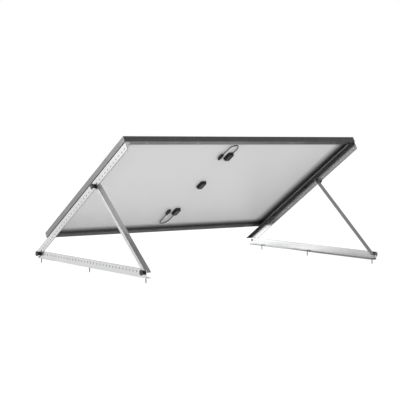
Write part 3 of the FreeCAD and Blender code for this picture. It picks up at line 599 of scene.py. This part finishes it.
def softBlock(name, size):
    # Block with rounded upright corners; its lower face lies at z 0.
    deselect()
    bpy.ops.mesh.primitive_cube_add(size=1, location=(0, 0, size[2] / 2), scale=size)
    block = bpy.context.object
    block.name = name
    bpy.ops.object.transform_apply()
    bpy.ops.object.mode_set(mode="EDIT")
    pick("edges", lambda e: abs((e.verts[0].co - e.verts[1].co).z) > pickFacts["upright"] * size[2])
    corner = min(boxLook["corner"], size[0] / 4)
    bpy.ops.mesh.bevel(offset=corner, segments=boxLook["cornerSteps"], affect="EDGES")
    bpy.ops.object.mode_set(mode="OBJECT")
    return block


def junctionBox(name):
    b = boxLook
    wide, long, tall = boxFacts["size"]
    body = softBlock(name, (wide, long, tall))
    bpy.ops.object.mode_set(mode="EDIT")
    pick("faces", lambda f: abs(f.normal.x) > pickFacts["facing"] and f.calc_area() > b["pocketFace"])
    bpy.ops.mesh.inset(thickness=b["pocket"], depth=-b["pocketDepth"], use_individual=True)
    bpy.ops.object.mode_set(mode="OBJECT")
    soften(body, b["edge"])
    lid = softBlock(name + "Lid", (wide - 2 * b["lidInset"], long - 2 * b["lidInset"], boxFacts["lid"]))
    bpy.ops.object.mode_set(mode="EDIT")
    pick("faces", lambda f: f.normal.z > pickFacts["facing"])
    bpy.ops.mesh.inset(thickness=b["field"], depth=0)
    bpy.ops.mesh.inset(thickness=b["fieldSlope"], depth=-b["sink"])
    bpy.ops.object.mode_set(mode="OBJECT")
    soften(lid, b["lidEdge"])
    lid.data.transform(Matrix.Translation((0, 0, tall)))
    latches = []
    for side in (-1, 1):
        latch = softBlock(name + "Latch", b["latch"])
        soften(latch, b["latchEdge"])
        latch.data.transform(Matrix.Translation((0, side * (long / 2 - b["latchIn"]), tall - b["latchDown"])))
        latches.append(latch)
    return joined([body, lid] + latches)


boxMade = junctionBox("boxShape")
beadMade = softBlock("bead", (boxFacts["size"][0] + 2 * boxLook["bead"],
                              boxFacts["size"][1] + 2 * boxLook["bead"], boxLook["beadHeight"]))
soften(beadMade, boxLook["beadEdge"], segments=3)
boxPlaces = {label: panelFrame @ Matrix.Translation((boxFacts["x"], boxMiddle(sign), panelFacts["backSheet"]))
             @ Matrix.Rotation(pi, 4, "Y") for label, sign in boxRow}
for label, move in boxPlaces.items():
    settle(copied(boxMade, f"junction_box_{label}_case"), move, "panel", "box", "black_plastic",
           f"junction_box_{label}", "box_lids")
for label, move in boxPlaces.items():
    settle(copied(beadMade, f"box_bead_{label}"), move, "panel", "box", "black_plastic")
bpy.data.objects.remove(boxMade)
bpy.data.objects.remove(beadMade)
print("junction boxes made")

# Glands and plugs on the leads. Ribs are a height from and to, the radius that they start at, the share of the
# radius that stays in a groove, and how many columns there are to a groove.
glandFacts = {"sides": 36, "edge": 0.0003, "ribs": (0.0037, 0.009, 0.005525, 0.93, 3),
              "profile": [(0, 0.0065), (0.003, 0.0065), (0.003, 0.00559), (0.0038, 0.00559), (0.0038, 0.006305),
                          (0.0085, 0.00598), (0.010, 0.00455), (0.010, 0.0034), (0.009, 0.0034)]}
plugFacts = {"sides": 36, "edge": 0.0003, "ribs": (0.0195, 0.0345, 0.0098, 0.94, 3),
             "profile": [(0, 0.0035), (0, 0.0068), (0.002, 0.0084), (0.003, 0.0088), (0.013, 0.0088),
                         (0.013, 0.0081), (0.0145, 0.0081), (0.0145, 0.0088), (0.019, 0.0088), (0.019, 0.0095),
                         (0.020, 0.0105), (0.034, 0.0105), (0.035, 0.0095), (0.035, 0.0088), (0.041, 0.0088),
                         (0.041, 0.0080), (0.0425, 0.0080), (0.0425, 0.0088), (0.050, 0.008184),
                         (0.054, 0.006864), (0.054, 0.004), (0.050, 0.0038)],
             "tab": (0.0042, 0.0016, 0.013), "tabOut": 0.0086, "tabUp": 0.0355}


def ribbed(piece, sides, low, high, inner, share, every):
    # Columns of verts go in, between two heights, as the grooves of a grip.
    bpy.context.view_layer.objects.active = piece
    bpy.ops.object.mode_set(mode="EDIT")

    def inGroove(vert):
        around = vert.co.to_2d()
        if not low < vert.co.z < high or around.length < inner:
            return False
        return round(Vector((1, 0)).angle_signed(around) / (2 * pi / sides)) % every == 0
    pick("verts", inGroove)
    bpy.ops.transform.resize(value=(share, share, 1))
    bpy.ops.object.mode_set(mode="OBJECT")


def roundGrip(name, facts):
    grip = turned(name, facts["profile"], facts["sides"])
    ribbed(grip, facts["sides"], *facts["ribs"])
    soften(grip, facts["edge"])
    return grip


def plugShape():
    p = plugFacts
    plug = roundGrip("plugShape", p)
    tabs = []
    for side in (-1, 1):
        tab = softBlock("plugTab", p["tab"])
        soften(tab, p["edge"])
        tab.data.transform(Matrix.Translation((0, side * p["tabOut"], p["tabUp"])))
        tabs.append(tab)
    return joined([plug] + tabs)


glandMade = roundGrip("glandShape", glandFacts)
plugMade = plugShape()
for end, sign in leadEnds:
    out = Matrix.Rotation(radians(-90 * sign), 4, "X")
    boxEnd = boxMiddle(sign) + sign * boxFacts["size"][1] / 2
    start = (boxFacts["x"] + leadFacts["gland"], boxEnd, leadFacts["level"])
    move = panelFrame @ Matrix.Translation(start) @ out
    settle(copied(glandMade, f"gland_{end}_nut"), move, "panel", "plug", "black_plastic", "gland_" + end)
    back = Matrix.Rotation(radians(90 * sign), 4, "X")
    plugEnd = boxMiddle(sign) + sign * leadFacts["plugEnd"]
    start = (boxFacts["x"] + leadFacts["plug"], plugEnd, leadFacts["level"])
    move = panelFrame @ Matrix.Translation(start) @ back
    settle(copied(plugMade, f"plug_{end}_shell"), move, "panel", "plug", "black_plastic",
                        "plug_" + end)
bpy.data.objects.remove(glandMade)
bpy.data.objects.remove(plugMade)
print("plugs and glands made")

# Foot screws: flanged hexagon head, plain neck and a coarse thread down to the point.
screwFacts = {"sides": 24, "edge": 0.0001, "headSide": 0.008, "headLow": 0.0366, "headHigh": 0.0413,
              "profile": [(0, 0.0006), (0.007, 0.0027), (0.029, 0.0027), (0.030, 0.0028), (0.0356, 0.0028),
                          (0.0356, 0.0055), (0.0362, 0.0055), (0.0368, 0.0045)]}
threadFacts = {"core": 0.0027, "outer": 0.0034, "pitch": 0.0022, "start": 0.0079, "turns": 9, "sunk": 0.0002,
               "flank": 0.3, "crest": 0.12, "steps": 20}
hexFacts = {"topInset": 0.14, "topDrop": 0.09, "corner": 0.9,   # shares of the head's radius
            "edge": 0.00025}
footPlaces = {"side": 0.8412, "left": (0.6224, -0.0066, -0.6356), "right": (0.4929, -0.0066, -0.6356)}


def hexHead(name, low, high, side):
    # Hexagon head with its corners turned off at the top.
    deselect()
    radius = side / 2 / cos(pi / 6)
    bpy.ops.mesh.primitive_cylinder_add(vertices=6, radius=radius, depth=high - low,
                                        location=(0, 0, (low + high) / 2))
    head = bpy.context.object
    head.name = name
    bpy.ops.object.transform_apply()
    bpy.ops.object.mode_set(mode="EDIT")
    pick("faces", lambda f: f.normal.z > pickFacts["facing"])
    bpy.ops.mesh.inset(thickness=radius * hexFacts["topInset"], depth=0)
    top, corner = high - pickFacts["hair"], radius * hexFacts["corner"]
    pick("verts", lambda v: v.co.z > top and v.co.to_2d().length > corner)
    bpy.ops.transform.translate(value=(0, 0, -radius * hexFacts["topDrop"]))
    bpy.ops.object.mode_set(mode="OBJECT")
    soften(head, hexFacts["edge"])
    return head


def threadCoil(name):
    # A strip of thread: a small profile, from one vert, swept up a helix.
    t = threadFacts
    depth = t["outer"] - t["core"] + t["sunk"]
    flank, crest = t["pitch"] * t["flank"], t["pitch"] * t["crest"]
    deselect()
    bpy.ops.mesh.primitive_plane_add(size=1, location=(0, 0, 0))
    coil = bpy.context.object
    coil.name = name
    bpy.ops.object.mode_set(mode="EDIT")
    bpy.ops.mesh.select_all(action="SELECT")
    bpy.ops.mesh.merge(type="CENTER")
    bpy.ops.transform.translate(value=(t["core"] - t["sunk"], 0, t["start"] - flank - crest / 2))
    bpy.ops.mesh.extrude_vertices_move(TRANSFORM_OT_translate={"value": (depth, 0, flank)})
    bpy.ops.mesh.extrude_vertices_move(TRANSFORM_OT_translate={"value": (0, 0, crest)})
    bpy.ops.mesh.extrude_vertices_move(TRANSFORM_OT_translate={"value": (-depth, 0, flank)})
    bpy.ops.object.mode_set(mode="OBJECT")
    screw = coil.modifiers.new("screw", "SCREW")
    screw.axis = "Z"
    screw.screw_offset = t["pitch"]
    screw.iterations = t["turns"]
    screw.steps = t["steps"]
    screw.render_steps = t["steps"]
    screw.use_normal_calculate = True
    bpy.ops.object.modifier_apply(modifier=screw.name)
    return coil


def footScrew():
    s = screwFacts
    shank = turned("footScrewShape", s["profile"], s["sides"])
    soften(shank, s["edge"], segments=1)
    head = hexHead("footScrewHead", s["headLow"], s["headHigh"], s["headSide"])
    return joined([shank, head, threadCoil("footScrewThread")])


screwMade = footScrew()
for side, sign in legSets:
    for i, y in enumerate(footPlaces[side]):
        move = Matrix.Translation((sign * footPlaces["side"], y, 0))
        settle(copied(screwMade, f"foot_screw_{side}_{i}"), move, "base", "steel", "hardware", "foot_screws")
bpy.data.objects.remove(screwMade)
print("foot screws made")

# Bolts of the front and upper pivots, with their heads on the inner side of each leg set.
boltFacts = {"sides": 24, "flangeSides": 32, "radius": 0.003, "tail": 0.00225, "tailLength": 0.0006,
             "into": 0.0005, "side": 0.010, "head": 0.004,
             "flangeHeight": 0.0008, "flangeTop": (0.0014, 0.0055), "flangeEdge": 0.0002,
             "front": {"flange": 0.0085, "inner": 0.8517, "body": "base"},
             "upper": {"flange": 0.0068, "inner": 0.8486, "body": "panel"}}


def hexBolt(name, length, flange):
    # Head above z 0 and a shank below it.
    b = boltFacts
    head = hexHead(name, 0, b["head"], b["side"])
    shank = turned(name + "Shank", [(-length, b["tail"]), (-length + b["tailLength"], b["radius"]),
                                    (b["into"], b["radius"])], b["sides"])
    rim = [(0, flange), (b["flangeHeight"], flange), b["flangeTop"]]
    collar = turned(name + "Flange", rim, b["flangeSides"])
    soften(collar, b["flangeEdge"], segments=1)
    return joined([head, shank, collar])


for kind in ("front", "upper"):
    facts = boltFacts[kind]
    low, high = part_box(kind + "_bolts")
    y, z = (low.y + high.y) / 2, (low.z + high.z) / 2
    bolt = hexBolt("pivotBolt", high.x - facts["inner"], facts["flange"])
    for side, sign in legSets:
        move = Matrix.Translation((sign * facts["inner"], y, z)) @ Matrix.Rotation(radians(-90 * sign), 4, "Y")
        settle(copied(bolt, f"{kind}_bolt_{side}"), move, facts["body"], "blackSteel", "hardware",
               kind + "_bolts")
    bpy.data.objects.remove(bolt)
print("pivot bolts made")

# Floor, world and lamps. The camera and the glass see a white floor, with the object's shadow on it. Metal's
# first reflections see a white floor with graded dark zones, and deeper ones a dim grey. A range is two
# brightnesses and the two distances along a direction that they belong to.
stageFacts = {"floor": 60, "lift": -0.0005, "floorRoughness": 0.9, "floorColor": (0.88, 0.88, 0.88),
              "cameraShare": 0.75, "white": 1.17, "deeper": 0.05, "firstDepth": 1.5,
              "across": (-0.75, -0.661, 0), "acrossRange": (0.03, 1.0, -1.05, -0.93),
              "left": (-1, 0, 0), "leftRange": (0.03, 1.0, -0.8, -0.6),
              "right": (1, 0, 0), "rightRange": (0, 1, 2.3, 3.0),
              "front": (0, 1, 0), "frontRange": (0.62, 2.0, 0.1, 0.26), "leftOfFront": (0, 1, 0.7, 0.84),
              "strip": 0.61, "stripRange": (0.085, 1.0, 0.05, 0.14), "stripEnd": (0, 1, 0.84, 0.9),
              "darkSide": (0.45, -0.65, 0.62), "darkRange": (1.0, 0.2, -0.2, 0.88), "room": 0.95, "sky": 1.0}


def raysSeen(tree):
    # Camera and glass rays, all reflections, and first reflections, each as 0 or 1.
    path = tree.nodes.new("ShaderNodeLightPath")
    clear = calc(tree, "MAXIMUM", path.outputs["Is Camera Ray"], path.outputs["Is Transmission Ray"])
    first = calc(tree, "LESS_THAN", path.outputs["Glossy Depth"], stageFacts["firstDepth"])
    return clear, path.outputs["Is Glossy Ray"], first


def reach(tree, vector, direction):
    dot = tree.nodes.new("ShaderNodeVectorMath")
    dot.operation = "DOT_PRODUCT"
    dot.inputs[1].default_value = Vector(stageFacts[direction]).normalized()
    tree.links.new(vector, dot.inputs[0])
    return dot.outputs["Value"]


def graded(tree, vector, direction, rangeName):
    return between(tree, reach(tree, vector, direction), *stageFacts[rangeName])


def blendShaders(tree, factor, first, second):
    mix = tree.nodes.new("ShaderNodeMixShader")
    for socket, value in enumerate((factor, first, second)):
        tree.links.new(value, mix.inputs[socket])
    return mix.outputs[0]


def glow(tree, kind, strength):
    light = tree.nodes.new(kind)
    light.inputs["Color"].default_value = (1, 1, 1, 1)
    if isinstance(strength, float):
        light.inputs["Strength"].default_value = strength
    else:
        tree.links.new(strength, light.inputs["Strength"])
    return light.outputs[0]


def floorBrightness(tree):
    # Dark to the right of the object, where the right rail's flange looks, and bright again farther out; a
    # dark strip for the frame's lower member; brighter in front of the object, for the right base rail.
    ground = spot(tree)
    bright = calc(tree, "MAXIMUM", graded(tree, ground, "across", "acrossRange"),
                  graded(tree, ground, "left", "leftRange"))
    ahead = reach(tree, ground, "front")
    fromStrip = calc(tree, "ABSOLUTE", calc(tree, "SUBTRACT", ahead, stageFacts["strip"]))
    strip = calc(tree, "MAXIMUM", between(tree, fromStrip, *stageFacts["stripRange"]),
                 graded(tree, ground, "left", "stripEnd"))
    bright = calc(tree, "MULTIPLY", bright, strip)
    inFront = graded(tree, ground, "front", "frontRange")
    onLeft = graded(tree, ground, "left", "leftOfFront")
    onRight = calc(tree, "MULTIPLY", inFront, calc(tree, "SUBTRACT", 1, onLeft))
    bright = calc(tree, "MULTIPLY", bright, calc(tree, "ADD", onLeft, onRight))
    return calc(tree, "MAXIMUM", bright, graded(tree, ground, "right", "rightRange"))


deselect()
bpy.ops.mesh.primitive_plane_add(size=stageFacts["floor"], location=(0, 0, stageFacts["lift"]))
floor = bpy.context.object
floor.name = "floor"
floorMaterial, floorTree, floorShader = newMaterial("paleFloor", roughness=stageFacts["floorRoughness"],
                                                    color=stageFacts["floorColor"])
clear, glossy, first = raysSeen(floorTree)
mirrored = blendShaders(floorTree, first, glow(floorTree, "ShaderNodeEmission", stageFacts["deeper"]),
                        glow(floorTree, "ShaderNodeEmission", floorBrightness(floorTree)))
lit = blendShaders(floorTree, glossy, floorShader.outputs[0], mirrored)
shown = blendShaders(floorTree, calc(floorTree, "MULTIPLY", clear, stageFacts["cameraShare"]), lit,
                     glow(floorTree, "ShaderNodeEmission", stageFacts["white"]))
floorTree.links.new(shown, floorTree.nodes["Material Output"].inputs["Surface"])
floor.data.materials.append(floorMaterial)

world = bpy.data.worlds.new("studio")
bpy.context.scene.world = world
world.use_nodes = True
worldTree = world.node_tree
worldTree.nodes.remove(worldTree.nodes["Background"])
clear, glossy, first = raysSeen(worldTree)
outward = worldTree.nodes.new("ShaderNodeTexCoord").outputs["Generated"]
sideGlow = graded(worldTree, outward, "darkSide", "darkRange")
mirrored = blendShaders(worldTree, first, glow(worldTree, "ShaderNodeBackground", stageFacts["deeper"]),
                        glow(worldTree, "ShaderNodeBackground", sideGlow))
lit = blendShaders(worldTree, glossy, glow(worldTree, "ShaderNodeBackground", stageFacts["room"]), mirrored)
shown = blendShaders(worldTree, clear, lit, glow(worldTree, "ShaderNodeBackground", stageFacts["sky"]))
worldTree.links.new(shown, worldTree.nodes["World Output"].inputs["Surface"])

lampAim = (0, 0, 0.4)
lampFacts = [
    {"name": "keyLamp", "place": (-4.5, 4.5, 3.0), "size": 3.5, "power": 170},
    {"name": "fillLamp", "place": (0.6, -5.5, 0.9), "size": 1.6, "power": 90},
]
for facts in lampFacts:
    lampData = bpy.data.lights.new(facts["name"], "AREA")
    lampData.energy = facts["power"]
    lampData.size = facts["size"]
    lamp = bpy.data.objects.new(facts["name"], lampData)
    bpy.context.scene.collection.objects.link(lamp)
    lamp.location = facts["place"]
    lamp.rotation_euler = (Vector(lampAim) - lamp.location).to_track_quat("-Z", "Y").to_euler()
bpy.context.scene.view_settings.view_transform = "Standard"
print("stage and lamps set")
